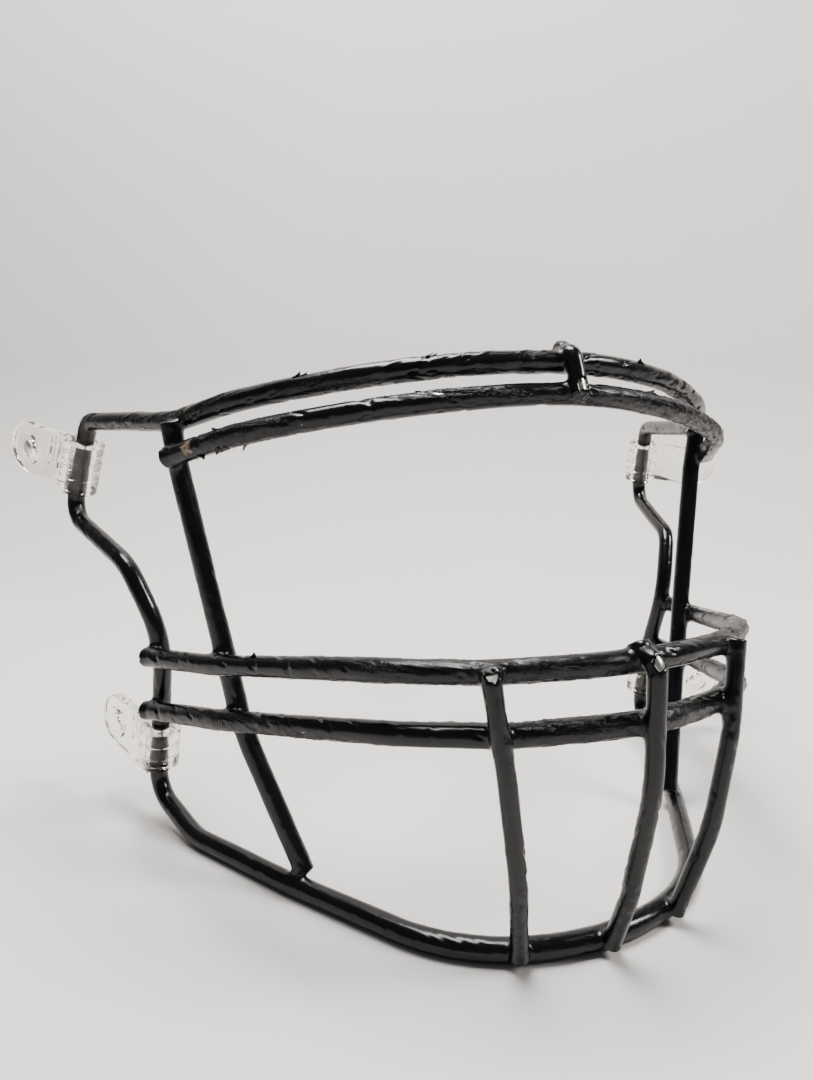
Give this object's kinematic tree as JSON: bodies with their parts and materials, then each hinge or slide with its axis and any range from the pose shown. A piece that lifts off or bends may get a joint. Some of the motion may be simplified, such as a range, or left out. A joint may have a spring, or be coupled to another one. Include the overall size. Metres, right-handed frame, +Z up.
{
  "type": "football helmet face guard",
  "caption": "Welded wire face guard for a football helmet, black dip coated, with clear plastic loop straps that turn on the outer wire and screw to the shell.",
  "frame": {"origin": "under the middle of the guard's bounding box, on the surface that its jaw wire stands on", "axes": "+X towards the wearer's left, -Y the front, +Z up"},
  "size_m": [0.3016, 0.1843, 0.1529],
  "materials": {
    "steel_core": "drawn wire",
    "black_coating": "gloss",
    "clear_strap": "clear"
  },
  "bodies": {
    "guard": {"perimeter_core": "steel_core", "brow_bar_core": "steel_core", "upper_bar_core": "steel_core", "lower_bar_core": "steel_core", "eye_wire_right_core": "steel_core", "eye_wire_left_core": "steel_core", "chin_bar_right_core": "steel_core", "chin_bar_centre_core": "steel_core", "chin_bar_left_core": "steel_core", "brow_tie_core": "steel_core", "perimeter_coat": "black_coating", "brow_bar_coat": "black_coating", "upper_bar_coat": "black_coating", "lower_bar_coat": "black_coating", "eye_wire_right_coat": "black_coating", "eye_wire_left_coat": "black_coating", "chin_bar_right_coat": "black_coating", "chin_bar_centre_coat": "black_coating", "chin_bar_left_coat": "black_coating", "brow_tie_coat": "black_coating"},
    "strap_upper_right": {"strap_upper_right": "clear_strap"},
    "strap_upper_left": {"strap_upper_left": "clear_strap"},
    "strap_lower_right": {"strap_lower_right": "clear_strap"},
    "strap_lower_left": {"strap_lower_left": "clear_strap"}
  },
  "joints": [
    {"name": "strap_upper_right_turn", "type": "hinge", "parent": "guard", "child": "strap_upper_right", "pos_m": [-0.12659, 0.06567, 0.12016], "axis": [-0.2058, 0.3705, -0.9057], "range_deg": [-130, 165]},
    {"name": "strap_upper_left_turn", "type": "hinge", "parent": "guard", "child": "strap_upper_left", "pos_m": [0.11739, 0.06567, 0.12016], "axis": [-0.2058, -0.3705, 0.9057], "range_deg": [-60, 235]},
    {"name": "strap_lower_right_turn", "type": "hinge", "parent": "guard", "child": "strap_lower_right", "pos_m": [-0.10571, 0.03324, 0.02746], "axis": [-0.077, 0.2309, -0.9699], "range_deg": [-102, 113]},
    {"name": "strap_lower_left_turn", "type": "hinge", "parent": "guard", "child": "strap_lower_left", "pos_m": [0.09651, 0.03324, 0.02746], "axis": [-0.077, -0.2309, 0.9699], "range_deg": [-25, 190]}
  ]
}
